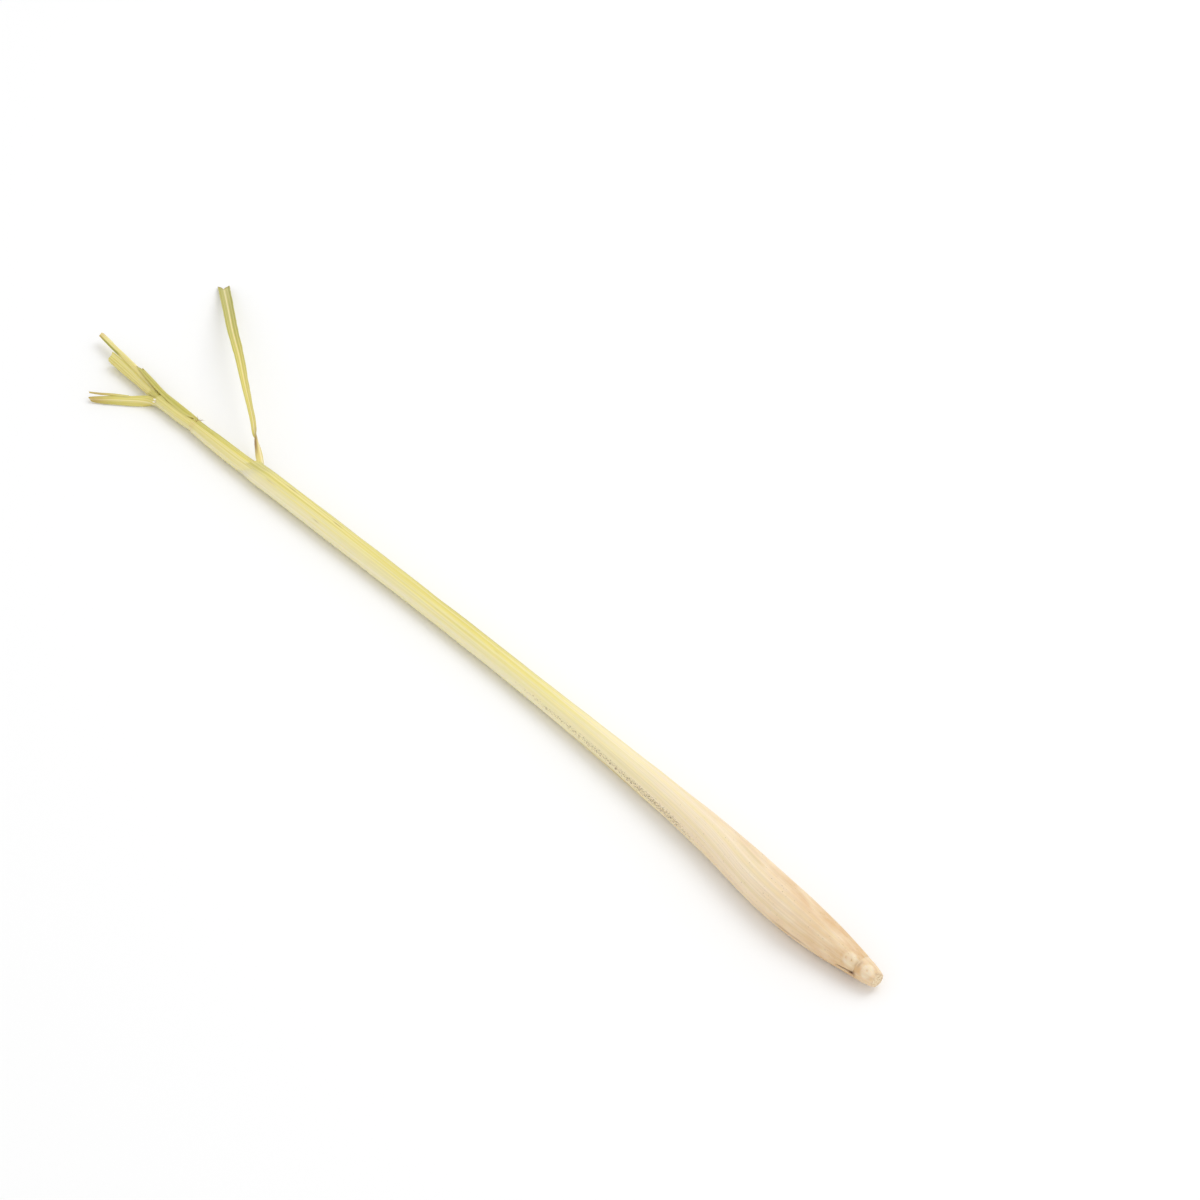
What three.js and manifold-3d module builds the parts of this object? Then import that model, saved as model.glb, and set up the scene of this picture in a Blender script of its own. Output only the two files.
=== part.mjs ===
// A trimmed lemongrass stalk lying on its side: a short solid stem base with five leaves wrapped round
// one another. Each leaf starts as a sheath, rolled round the younger leaves inside it, and opens at its
// collar into a folded blade that was cut off short. Millimetres, +Z up, +X from the cut base to the tips.

import * as THREE from "three";
import { mergeVertices } from "three/addons/utils/BufferGeometryUtils.js";
import Module from "manifold-3d";

const wasm = await Module();
wasm.setup();

// ---- Driving dimensions ----

// Stations are distances along the stalk from its neck, with the cut end just below station 0. Sides are
// positive to the left, looking from the base to the tips, and angles round the stalk start on the left
// and turn upwards. The origin is on the surface, under the middle of the whole stalk.
const ORIGIN_STATION = 206.2;
const ORIGIN_SIDE = -20.27;

// The line of the stalk: [station, side, height]. It lies down with a slight bend, belly on the surface.
const AXIS = [
  [-2, 1.3, 4.5],
  [13, 1.9, 5.6],
  [31, 2.2, 6.35],
  [43, 1.9, 6.5],
  [60, 0.5, 6.45],
  [75, -0.8, 6.1],
  [106, -2.1, 5.3],
  [156, -3.0, 4.4],
  [208, -2.8, 4.05],
  [261, -1.7, 4.15],
  [305, -0.6, 4.15],
  [322, 0.2, 3.8],
  [347, 0.3, 3.35],
  [361, 0.8, 3.2],
  [370, 0.8, 3.2],
  [380, -0.6, 3.2],
  [392, -2.1, 3.15],
  [408, -3.1, 3.1],
];

// The girth of all five leaves together: [station, outer radius]. The bulb swells near the base.
const GIRTH = [
  [5, 3.95],
  [8, 4.35],
  [13, 5.05],
  [20, 5.9],
  [31, 6.8],
  [42, 6.98],
  [57, 6.66],
  [75, 5.95],
  [106, 5.05],
  [156, 4.08],
  [208, 3.78],
  [261, 3.92],
  [305, 3.9],
  [322, 3.92],
  [347, 3.7],
  [355, 4.1],
  [363, 4.25],
  [376, 4.45],
];

// A sheath is fleshy in the bulb and thins between these two stations.
const BULB_END = 55;
const SLIM_START = 115;
const BULB_WALL = 0.92;
const SHEATH_WALL = 0.55;
const BLADE_WALL = 0.62;
// The most of its half width that a folded blade's inner face moves in, so that its keel stays solid.
const KEEL_FILL = 0.8;
// The air between two leaves, and between the two margins of a rolled sheath.
const LEAF_GAP = 0.22;
const MARGIN_GAP = 0.3;
// A slanted mouth starts to lean this far below it.
const SLANT_RUN = 40;

// The solid stem base, inside the leaves: [station, radius]. Its neck shows below the outer leaf.
const STEM_BASE = [
  [-2, 2.35],
  [-1.2, 2.7],
  [0.6, 3.2],
  [2.8, 3.6],
  [4.5, 3.85],
  [4.7, 2.75],
  [16, 2.85],
  [24, 2.75],
  [32, 2.2],
  [38, 1.4],
  [40.8, 0.5],
];
const STEM_SIDES = 20;
// The heart leaf's sheath is rolled so tightly that it is a solid rod with this many sides.
const ROD_SIDES = 12;

// Pale root buds that swell on the stem and leaf base: where, how high and how wide.
const NECK_BUD = { station: 1.6, angle: 59, height: 0.42, along: 1.9, round: 30 };
const LEAF_BUD = { station: 8, angle: 50, height: 0.42, along: 2.4, round: 27 };

const SHEATH_STATIONS = [
  7.5, 10.5, 15, 20, 26, 33, 42, 52, 62, 74, 87, 102, 120, 145, 175, 208, 240, 275,
  305, 313, 322, 338, 347.5, 354, 360, 365,
];

// How a sheath's mouth runs back to its collar: [distance past the mouth, half the angle still wrapped].
const MOUTH_STEPS = [
  [0.8, 150],
  [1.6, 124],
  [2.5, 98],
  [3.4, 72],
  [4.4, 46],
];

// ---- Reading the hand-set lines ----

// Reads one column of a line of rows, [station, value, value ...], as a smooth curve through them.
function readLine(rows, station, column) {
  const last = rows.length - 1;
  const next = rows.findIndex((row) => row[0] > station);
  const low = next < 0 ? last - 1 : Math.max(next - 1, 0);
  const slopeAt = (index) => {
    const before = rows[Math.max(index - 1, 0)];
    const after = rows[Math.min(index + 1, last)];
    return (after[column] - before[column]) / (after[0] - before[0]);
  };
  const span = rows[low + 1][0] - rows[low][0];
  const f = THREE.MathUtils.clamp((station - rows[low][0]) / span, 0, 1);
  const rise = f * f * (3 - 2 * f);
  const leave = f * (1 - f) * (1 - f) * span * slopeAt(low);
  const arrive = f * f * (f - 1) * span * slopeAt(low + 1);
  return rows[low][column] * (1 - rise) + rows[low + 1][column] * rise + leave + arrive;
}

const girth = (station) => readLine(GIRTH, station, 1);

function wallAt(station) {
  return THREE.MathUtils.lerp(BULB_WALL, SHEATH_WALL, THREE.MathUtils.smoothstep(station, BULB_END, SLIM_START));
}

// The outer radius of a wrapped leaf: layer 0 is the outermost, and each younger leaf lies inside it.
function layerRadius(layer, station) {
  return girth(station) - layer * (wallAt(station) + LEAF_GAP);
}

// A point at a radius and an angle, in degrees, round the stalk's own line.
function roundStalk(station, degrees, radius) {
  const angle = THREE.MathUtils.degToRad(degrees);
  const side = readLine(AXIS, station, 1) + radius * Math.cos(angle);
  const height = readLine(AXIS, station, 2) + radius * Math.sin(angle);
  return new THREE.Vector3(station, side, height);
}

function budRise(bud, station, degrees) {
  const along = (station - bud.station) / bud.along;
  const round = (THREE.MathUtils.euclideanModulo(degrees - bud.angle + 180, 360) - 180) / bud.round;
  return bud.height * Math.exp(-along * along - round * round);
}

// ---- Solids from loops ----

// Skins a row of loops into one closed solid. Every loop has the same even number of points, and its
// second half comes back along its first, so the ends close as a row of four-sided faces.
function skin(loops) {
  const count = loops[0].length;
  const positions = loops.flat().flatMap((point) => [point.x, point.y, point.z]);
  const indices = [];
  for (let ring = 0; ring < loops.length - 1; ring += 1) {
    for (let i = 0; i < count; i += 1) {
      const near = ring * count + i;
      const nearNext = ring * count + ((i + 1) % count);
      const far = near + count;
      const farNext = nearNext + count;
      if (i < count / 2) {
        indices.push(near, nearNext, farNext, near, farNext, far);
      } else {
        indices.push(near, nearNext, far, nearNext, farNext, far);
      }
    }
  }
  const lastRing = (loops.length - 1) * count;
  for (let i = 0; i < count / 2 - 1; i += 1) {
    const opposite = count - 1 - i;
    indices.push(i, opposite - 1, i + 1, i, opposite, opposite - 1);
    indices.push(lastRing + i, lastRing + i + 1, lastRing + opposite - 1);
    indices.push(lastRing + i, lastRing + opposite - 1, lastRing + opposite);
  }
  const geometry = new THREE.BufferGeometry();
  geometry.setAttribute("position", new THREE.Float32BufferAttribute(positions, 3));
  geometry.setIndex(indices);
  return geometry;
}

function toSolid(geometry) {
  const bare = geometry.clone();
  bare.deleteAttribute("normal");
  bare.deleteAttribute("uv");
  const merged = mergeVertices(bare, 1e-5);
  return new wasm.Manifold(
    new wasm.Mesh({
      numProp: 3,
      vertProperties: new Float32Array(merged.attributes.position.array),
      triVerts: new Uint32Array(merged.index.array),
    }),
  );
}

function toGeometry(solid) {
  const mesh = solid.getMesh();
  const geometry = new THREE.BufferGeometry();
  geometry.setAttribute("position", new THREE.BufferAttribute(mesh.vertProperties, 3));
  geometry.setIndex(new THREE.BufferAttribute(mesh.triVerts, 1));
  return geometry;
}

function joined(...geometries) {
  const solids = geometries.map(toSolid);
  return toGeometry(solids.reduce((whole, piece) => whole.add(piece)));
}

// Takes off whatever would sink below the surface, which leaves a true flat face at height 0.
function flattenedUnderneath(geometry) {
  const box = new THREE.BoxGeometry(500, 200, 20);
  box.translate(ORIGIN_STATION, 0, -10);
  return toGeometry(toSolid(geometry).subtract(toSolid(box)));
}

// ---- Leaves ----

// One loop of a sheath: the outer face from margin to margin, then the inner face back again. Towards the
// mouth a loop leans, so that the side away from the keel reaches further than the collar does.
function sheathLoop(leaf, station, halfSpan) {
  const outer = [];
  const inner = [];
  const keel = readLine(leaf.keel, station, 1);
  const slant = leaf.slant * THREE.MathUtils.smoothstep(station, leaf.mouth - SLANT_RUN, leaf.mouth);
  const innerRadius = layerRadius(leaf.layer, station) - wallAt(station);
  const halfWrap = halfSpan ?? 180 - THREE.MathUtils.radToDeg(MARGIN_GAP / 2 / innerRadius);
  for (let i = 0; i <= leaf.facets; i += 1) {
    const fromKeel = halfWrap * ((2 * i) / leaf.facets - 1);
    const angle = keel + fromKeel;
    const place = station + (slant * (1 - Math.cos(THREE.MathUtils.degToRad(fromKeel)))) / 2;
    const radius = layerRadius(leaf.layer, place);
    const bud = leaf.layer === 0 ? budRise(LEAF_BUD, place, angle) : 0;
    outer.push(roundStalk(place, angle, radius + bud));
    inner.unshift(roundStalk(place, angle, radius - wallAt(place)));
  }
  return outer.concat(inner);
}

// One loop of a blade. Its rows are [station, side, height, facing angle, half width, fold depth, fold
// power]: a power near 1 is a sharp V fold and 2 is a round gutter. The line of the rows is the keel.
function bladeLoop(rows, facets, station, cut = () => 0) {
  const keelAt = (where) => new THREE.Vector3(where, readLine(rows, where, 1), readLine(rows, where, 2));
  const before = Math.max(station - 0.5, rows[0][0]);
  const after = Math.min(station + 0.5, rows[rows.length - 1][0]);
  const along = keelAt(after).sub(keelAt(before)).normalize();
  const facing = THREE.MathUtils.degToRad(readLine(rows, station, 3));
  const out = new THREE.Vector3(0, Math.cos(facing), Math.sin(facing));
  out.addScaledVector(along, -out.dot(along)).normalize();
  const across = along.clone().cross(out);
  const halfWidth = readLine(rows, station, 4);
  const depth = readLine(rows, station, 5);
  const power = readLine(rows, station, 6);
  const outer = [];
  const inner = [];
  for (let i = 0; i <= facets; i += 1) {
    const u = (2 * i) / facets - 1;
    const slope = (depth * power * Math.sign(u) * Math.abs(u) ** (power - 1)) / halfWidth;
    const lean = Math.hypot(slope, 1);
    const point = keelAt(station).addScaledVector(along, cut(u));
    point.addScaledVector(across, halfWidth * u).addScaledVector(out, -depth * Math.abs(u) ** power);
    outer.push(point);
    const leanIn = Math.min((Math.abs(slope) / lean) * BLADE_WALL, KEEL_FILL * Math.abs(halfWidth * u));
    const inside = point.clone().addScaledVector(across, -Math.sign(u) * leanIn);
    inner.unshift(inside.addScaledVector(out, -BLADE_WALL / lean));
  }
  return outer.concat(inner);
}

function bladeLoops(rows, facets, stations, cut) {
  const last = stations.length - 1;
  return stations.map((station, index) => bladeLoop(rows, facets, station, index === last ? cut : undefined));
}

// A blade row that starts on the rolled sheath, at the collar.
function collarRow(leaf, station, halfSpan) {
  const radius = layerRadius(leaf.layer, station);
  const keel = readLine(leaf.keel, station, 1);
  const start = roundStalk(station, keel, radius);
  const half = THREE.MathUtils.degToRad(halfSpan);
  return [station, start.y, start.z, keel, radius * Math.sin(half), radius * (1 - Math.cos(half)), 2];
}

// A blade row that follows the stalk at its own radius.
function alongsideRow(station, angle, radius, halfWidth, depth, power) {
  const keel = roundStalk(station, angle, radius);
  return [station, keel.y, keel.z, angle, halfWidth, depth, power];
}

function sheathLoops(leaf) {
  const between = SHEATH_STATIONS.filter((station) => station > leaf.root + 1.5 && station < leaf.mouth - 3);
  const wrapped = [leaf.root, ...between, leaf.mouth].map((station) => sheathLoop(leaf, station));
  const opening = leaf.opening.map(([past, halfSpan]) => sheathLoop(leaf, leaf.mouth + past, halfSpan));
  return wrapped.concat(opening);
}

function outerLeaf() {
  const leaf = {
    layer: 0,
    root: 4.8,
    mouth: 308.2,
    slant: 11,
    facets: 18,
    keel: [[5, 95], [58, 99], [105, 125], [150, 140], [330, 152]],
    opening: MOUTH_STEPS,
  };
  const blade = [
    collarRow(leaf, 312.8, 40),
    [316, -5.2, 6.8, 197, 1.8, 0.55, 1.9],
    [320, -7.0, 8.3, 208, 1.35, 0.55, 1.8],
    [325, -9.8, 9.8, 216, 0.95, 0.5, 1.6],
    [330, -12.7, 11.0, 228, 1.05, 0.55, 1.5],
    [337, -16.4, 12.2, 240, 1.25, 0.7, 1.4],
    [346, -21.2, 12.9, 250, 1.45, 0.8, 1.4],
    [360, -29.0, 12.9, 256, 1.75, 0.95, 1.4],
    [376, -37.6, 10.8, 259, 2.0, 1.05, 1.4],
    [393, -47.6, 6.6, 260, 2.15, 1.1, 1.4],
    [411.5, -58.6, -0.13, 260, 2.25, 1.1, 1.4],
  ];
  const stations = [313.6, 314.6, 316, 318, 320.5, 325, 330, 336, 344, 352, 362, 374, 387, 400, 411.5];
  // The cut end is slanted, with a notch beside the midrib.
  const cut = (u) => 1.1 * u - 1.5 * Math.exp(-(((u - 0.2) / 0.2) ** 2));
  const loops = sheathLoops(leaf).concat(bladeLoops(blade, leaf.facets, stations, cut));
  return flattenedUnderneath(skin(loops));
}

function secondLeaf() {
  const leaf = {
    layer: 1,
    root: 16,
    mouth: 344.6,
    slant: 3.2,
    facets: 16,
    keel: [[16, 150], [352, 150]],
    opening: MOUTH_STEPS,
  };
  const blade = [
    collarRow(leaf, 349.4, 44),
    alongsideRow(354, 145, 3.55, 2.5, 1.05, 2),
    alongsideRow(362, 141, 3.65, 2.9, 1.6, 2),
    alongsideRow(369, 142, 3.65, 2.7, 1.4, 2),
    alongsideRow(378, 149, 3.5, 1.6, 0.6, 2),
    alongsideRow(386, 151, 3.25, 1.1, 0.35, 2),
  ];
  // This end was torn, not cut.
  const cut = (u) => -1.6 * u + 1.2 * Math.sin(5 * u);
  const loops = bladeLoops(blade, leaf.facets, [350.4, 354, 361, 369, 377, 385], cut);
  return skin(sheathLoops(leaf).concat(loops));
}

function thirdLeaf() {
  const leaf = {
    layer: 2,
    root: 24,
    mouth: 364,
    slant: 3,
    facets: 14,
    keel: [[24, -5], [372, -25]],
    opening: [[0.9, 150], [1.8, 129], [2.7, 108], [3.6, 87], [4.4, 66]],
  };
  const blade = [
    collarRow(leaf, 369, 66),
    [371.4, 4.4, 2.4, 5, 2.3, 1.1, 2],
    [374.3, 6.5, 2.45, 25, 2.05, 0.75, 1.9],
    [377.1, 8.8, 2.25, 34, 1.85, 0.6, 1.8],
    [382.5, 13.8, 2.0, 36, 1.55, 0.5, 1.7],
    [386.5, 17.5, 1.7, 36, 1.15, 0.4, 1.7],
    [388.5, 19.3, 1.6, 36, 0.75, 0.3, 1.7],
  ];
  // A strip that has split off along the blade's edge.
  const sliver = [
    [378.4, 8.3, 3.1, 34, 0.45, 0.1, 2],
    [383, 12.1, 3.25, 34, 0.45, 0.1, 2],
    [386.4, 15.2, 3.2, 34, 0.4, 0.1, 2],
    [389.9, 17.7, 3.1, 34, 0.3, 0.1, 2],
  ];
  const cut = (u) => 0.5 * u;
  const loops = bladeLoops(blade, leaf.facets, [369.8, 371.2, 373, 375.4, 378.6, 382, 385.4, 388], cut);
  const leafSolid = skin(sheathLoops(leaf).concat(loops));
  return joined(leafSolid, skin(bladeLoops(sliver, 2, [378.4, 383, 386.4, 389.9])));
}

function fourthLeaf() {
  const leaf = {
    layer: 3,
    root: 32,
    mouth: 369,
    slant: 0,
    facets: 12,
    keel: [[32, 185], [200, 100], [374, -10]],
    opening: [[1, 150], [2.2, 124], [3.4, 100], [4.6, 80]],
  };
  const blade = [
    alongsideRow(374, -10, 2.15, 2.1, 1.8, 2),
    alongsideRow(380, -12, 2.6, 2.5, 1.8, 2),
    alongsideRow(392, -9, 3.4, 2.75, 1.9, 2),
    alongsideRow(402, -5, 4.3, 2.6, 1.7, 2),
  ];
  const cut = (u) => 0.9 * u + 0.5 * Math.sin(7 * u);
  const loops = bladeLoops(blade, leaf.facets, [375, 380, 388, 395, 400.2], cut);
  return skin(sheathLoops(leaf).concat(loops));
}

function heartLeaf() {
  const facets = 6;
  const rolled = [42, ...SHEATH_STATIONS.filter((station) => station > 42), 369, 372];
  const rodLoops = rolled.map((station) => {
    const corner = (_, i) => roundStalk(station, (360 * i) / ROD_SIDES, layerRadius(4, station));
    return Array.from({ length: ROD_SIDES }, corner);
  });
  const blade = [
    alongsideRow(364, 100, 0.9, 0.8, 0.4, 2),
    alongsideRow(372, 118, 1.35, 0.8, 0.45, 2),
    alongsideRow(375, 118, 2.1, 0.85, 0.7, 1.8),
    alongsideRow(379, 117, 2.4, 1.25, 1.1, 1.7),
    alongsideRow(386, 114, 2.6, 1.7, 1.7, 1.6),
    alongsideRow(396, 112, 2.6, 1.6, 1.5, 1.5),
    [405, -4.1, 5.2, 107, 1.5, 1.2, 1.4],
    [414.8, -4.8, 5.0, 102, 1.3, 0.8, 1.4],
  ];
  const cut = (u) => 0.5 * u;
  const stations = [364, 372, 375, 379, 386, 396, 405, 414];
  return joined(skin(rodLoops), skin(bladeLoops(blade, facets, stations, cut)));
}

// ---- Stem base ----

function stemBase() {
  const loops = STEM_BASE.map(([station, radius]) => {
    const corner = (_, i) => {
      const angle = (360 * i) / STEM_SIDES;
      return roundStalk(station, angle, radius + budRise(NECK_BUD, station, angle));
    };
    return Array.from({ length: STEM_SIDES }, corner);
  });
  return skin(loops);
}

// ---- The stalk ----

const lemongrassStalk = new THREE.Group();
lemongrassStalk.position.set(-ORIGIN_STATION, -ORIGIN_SIDE, 0);

function addPiece(name, geometry, colour) {
  const material = new THREE.MeshStandardMaterial({ color: colour, roughness: 0.6, metalness: 0 });
  const mesh = new THREE.Mesh(geometry, material);
  mesh.name = name;
  lemongrassStalk.add(mesh);
}

addPiece("stem_base", stemBase(), "#e9d3a8");
addPiece("outer_leaf", outerLeaf(), "#e8dba9");
addPiece("second_leaf", secondLeaf(), "#dfd88c");
addPiece("third_leaf", thirdLeaf(), "#cfc983");
addPiece("fourth_leaf", fourthLeaf(), "#c4bf76");
addPiece("heart_leaf", heartLeaf(), "#dcd48f");

export default lemongrassStalk;
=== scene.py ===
# %% [markdown]
# # A trimmed lemongrass stalk
# One stalk lies on its side on a pale table. It is a short stem with five leaves wrapped round one
# another: each leaf is a rolled sheath that opens at its collar into a blade, cut off short. The packed
# model gives every leaf a plain solid. Here each is built again where its solid lies, as a thin, closed
# sheet with fine steps, lapped margins, torn edges and its own skin.

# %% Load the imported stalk
import math

import bpy
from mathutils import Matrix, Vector, noise


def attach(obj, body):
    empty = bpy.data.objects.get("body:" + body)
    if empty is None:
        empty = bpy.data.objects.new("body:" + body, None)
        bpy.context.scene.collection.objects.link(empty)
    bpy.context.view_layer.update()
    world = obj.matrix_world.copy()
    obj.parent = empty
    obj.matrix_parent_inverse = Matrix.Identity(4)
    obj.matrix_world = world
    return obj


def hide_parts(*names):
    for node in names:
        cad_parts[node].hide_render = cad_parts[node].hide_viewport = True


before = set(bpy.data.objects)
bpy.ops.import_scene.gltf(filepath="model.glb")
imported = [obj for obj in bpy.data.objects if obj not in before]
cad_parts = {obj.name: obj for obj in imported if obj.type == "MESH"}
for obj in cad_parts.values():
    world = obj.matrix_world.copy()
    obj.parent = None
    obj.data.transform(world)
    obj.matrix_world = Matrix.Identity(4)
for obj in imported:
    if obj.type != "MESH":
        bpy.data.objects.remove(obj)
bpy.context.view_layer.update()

print("nodes:", ", ".join(sorted(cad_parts)))

# %% [markdown]
# ## Where things are
# Lengths are in millimetres along, beside and above the stalk's own line, as in the part's source: a
# station counts from the neck towards the tips, a side is positive to the left, and angles round the
# stalk start on the left and turn upwards. One function turns a place into Blender's metres, with the
# origin under the middle of the stalk.

# %% Frame of the stalk
MM = 0.001
ORIGIN_STATION = 206.2
ORIGIN_SIDE = -20.27
TABLE_CLEARANCE = 0.02


def in_metres(place):
    height = max(place.z, TABLE_CLEARANCE)
    return Vector((place.x - ORIGIN_STATION, place.y - ORIGIN_SIDE, height)) * MM


# The line of the stalk, [station, side, height], and the girth of all the leaves, [station, radius].
AXIS = [
    [-2, 1.3, 4.5], [13, 1.9, 5.6], [31, 2.2, 6.35], [43, 1.9, 6.5], [60, 0.5, 6.45], [75, -0.8, 6.1],
    [106, -2.1, 5.3], [156, -3.0, 4.4], [208, -2.8, 4.05], [261, -1.7, 4.15], [305, -0.6, 4.15],
    [322, 0.2, 3.8], [347, 0.3, 3.35], [361, 0.8, 3.2], [370, 0.8, 3.2], [380, -0.6, 3.2],
    [392, -2.1, 3.15], [408, -3.1, 3.1],
]
GIRTH = [
    [5, 3.95], [8, 4.35], [13, 5.05], [20, 5.9], [31, 6.8], [42, 6.98], [57, 6.66], [75, 5.95], [106, 5.05],
    [156, 4.08], [208, 3.78], [261, 3.92], [305, 3.9], [322, 3.92], [347, 3.7], [355, 4.1], [363, 4.25],
    [376, 4.45],
]
print("stalk line:", len(AXIS), "rows; girth:", len(GIRTH), "rows")

# %% [markdown]
# ## Reading a line of rows
# The shape of the stalk is a few rows of numbers. A smooth curve is read through them, the same as in the
# source, so the fine leaves lie on the plain ones. `smooth_step`, `fade` and `hump` are the falloffs that
# the shaping and colouring is made of, and `uneven` is Blender's noise, which is the same each time.

# %% Curves and falloffs
def read_line(rows, station, column):
    last = len(rows) - 1
    low = max(next((i for i, row in enumerate(rows) if row[0] > station), last) - 1, 0)

    def slope_at(index):
        before, after = rows[max(index - 1, 0)], rows[min(index + 1, last)]
        return (after[column] - before[column]) / (after[0] - before[0])

    span = rows[low + 1][0] - rows[low][0]
    f = min(max((station - rows[low][0]) / span, 0), 1)
    rise = f * f * (3 - 2 * f)
    leave = f * (1 - f) ** 2 * span * slope_at(low)
    arrive = f * f * (f - 1) * span * slope_at(low + 1)
    return rows[low][column] * (1 - rise) + rows[low + 1][column] * rise + leave + arrive


def straight_line(rows, station):
    last = len(rows) - 1
    low = min(max(next((i for i, row in enumerate(rows) if row[0] > station), last) - 1, 0), last - 1)
    f = min(max((station - rows[low][0]) / (rows[low + 1][0] - rows[low][0]), 0), 1)
    return rows[low][1] + (rows[low + 1][1] - rows[low][1]) * f


def smooth_step(value, low, high):
    f = min(max((value - low) / (high - low), 0), 1)
    return f * f * (3 - 2 * f)


def fade(value, low, high):
    return 1 - smooth_step(value, low, high)


def hump(value, centre, width):
    return math.exp(-(((value - centre) / width) ** 2))


def turned(degrees):
    return (degrees + 180) % 360 - 180


def uneven(x, y, z):
    return noise.noise(Vector((x, y, z)))


print("middle of the bulb is", round(2 * read_line(GIRTH, 42, 1), 1), "mm thick")

# %% [markdown]
# ## Layers
# A leaf's sheath is fleshy in the bulb and thin higher up, and each younger leaf lies one wall and a gap
# further in. The radius of a layer follows from the girth and the walls outside it.

# %% Layer radii
BULB_END = 55
SLIM_START = 115
BULB_WALL = 0.92
SHEATH_WALL = 0.55
LEAF_GAP = 0.22


def wall_at(station):
    return BULB_WALL + (SHEATH_WALL - BULB_WALL) * smooth_step(station, BULB_END, SLIM_START)


def layer_radius(layer, station):
    return read_line(GIRTH, station, 1) - layer * (wall_at(station) + LEAF_GAP)


def round_stalk(station, degrees, radius):
    angle = math.radians(degrees)
    side = read_line(AXIS, station, 1) + radius * math.cos(angle)
    height = read_line(AXIS, station, 2) + radius * math.sin(angle)
    return Vector((station, side, height))


for layer_number in range(5):
    print("layer", layer_number, "at mid stalk:", round(layer_radius(layer_number, 208), 2), "mm")

# %% [markdown]
# ## A closed sheet from rows
# A leaf is a sheet with two faces, so each row across it is a list of pairs: a point on the outer face and
# one on the inner face. A modifier could give the thickness, but the wall thins towards each edge, and a
# pair says by how much. The faces and the rim all round make one closed mesh. A vertex also carries three
# vectors for the materials: its place on the leaf, its tissue (greening, tan stain, olive line) and its
# wear (flecks, bloom, dried edge).

# %% Sheet builder
SHARP_EDGE = math.radians(48)
CHANNELS = ("place", "tissue", "wear")


def fine_stations(*runs):
    stations = []
    for start, end, step in runs:
        count = max(round((end - start) / step), 1)
        stations += [start + (end - start) * i / count for i in range(count)]
    return stations + [runs[-1][1]]


def sheet_faces(first, rows, columns):
    size = rows * columns
    faces = []
    for row in range(rows - 1):
        for column in range(columns - 1):
            a = first + row * columns + column
            b = a + columns
            faces.append((a, a + 1, b + 1, b))
            faces.append((a + size, b + size, b + 1 + size, a + 1 + size))
    rim = [first + column for column in range(columns)]
    rim += [first + row * columns + columns - 1 for row in range(1, rows)]
    rim += [first + (rows - 1) * columns + column for column in range(columns - 2, -1, -1)]
    rim += [first + row * columns for row in range(rows - 2, 0, -1)]
    for i, a in enumerate(rim):
        b = rim[(i + 1) % len(rim)]
        faces.append((b, a, a + size, b + size))
    return faces


def tube_faces(first, rows, columns):
    faces = []
    for row in range(rows - 1):
        for column in range(columns):
            a = first + row * columns + column
            b = first + row * columns + (column + 1) % columns
            faces.append((a, b, b + columns, a + columns))
    faces.append(tuple(first + column for column in reversed(range(columns))))
    faces.append(tuple(first + (rows - 1) * columns + column for column in range(columns)))
    return faces


class Piece:
    """Gathers closed bodies into one mesh, with a material slot and the channels for each."""

    def __init__(self):
        self.places, self.faces, self.slots = [], [], []
        self.channels = {name: [] for name in CHANNELS}

    def add_points(self, points):
        for where, place, tissue, wear in points:
            self.places.append(in_metres(where))
            for name, value in zip(CHANNELS, (place, tissue, wear)):
                self.channels[name].extend(value)

    def add_faces(self, new_faces, slot=0):
        self.faces += new_faces
        self.slots += [slot] * len(new_faces)

    def add_sheet(self, rows, slot=0):
        first = len(self.places)
        self.add_points([point[0] for row in rows for point in row])
        self.add_points([point[1] for row in rows for point in row])
        self.add_faces(sheet_faces(first, len(rows), len(rows[0])), slot)

    def add_tube(self, rows):
        first = len(self.places)
        self.add_points([point for row in rows for point in row])
        self.add_faces(tube_faces(first, len(rows), len(rows[0])))

    def build(self, name, node, materials):
        mesh = bpy.data.meshes.new(name)
        mesh.from_pydata([tuple(place) for place in self.places], [], self.faces)
        for channel, values in self.channels.items():
            mesh.attributes.new(channel, "FLOAT_VECTOR", "POINT").data.foreach_set("vector", values)
        for material in materials:
            mesh.materials.append(material)
        mesh.polygons.foreach_set("material_index", self.slots)
        mesh.polygons.foreach_set("use_smooth", [True] * len(self.faces))
        mesh.set_sharp_from_angle(angle=SHARP_EDGE)
        mesh.update()
        piece = bpy.data.objects.new(name, mesh)
        bpy.context.collection.objects.link(piece)
        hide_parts(node)
        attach(piece, "root")
        print(name, "has", len(self.faces), "faces")


print("a 3 by 3 sheet has", len(sheet_faces(0, 3, 3)), "faces")

# %% [markdown]
# ## Sheaths
# A sheath could be a tube, but a real one is a sheet whose two margins lap. So each row starts at the
# margin that lies beneath and ends at the one on top, a little past a full turn: a leaf's "under" and
# "over" lines say how far round from the keel each reaches. The flesh thins towards a margin, and the
# lower one sinks under the upper. At its root a leaf feathers out and meets the stem. Towards its mouth a
# row leans, because the side away from the collar reaches further, while its flesh thins and settles on
# the next leaf. Then the "opening" line draws each row back to the collar.

# %% Sheath rows
# In mm along the stalk.
SLANT_RUN = 40
MOUTH_THINNING_RUN = 9
ROOT_RUN = 2.4
# In degrees round it.
MARGIN_TAPER = 38
LAP_TAPER = 14
LAPPED_HALF = 176
# In mm inwards, and then as shares of the wall.
LAP_SINK = 0.06
MARGIN_THINNING = 0.62
MOUTH_EDGE = 0.1
ROOT_EDGE = 0.05
# The notch in the outer leaf's root edge, (station, angle).
NOTCH = (4.6, 4)
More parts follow.
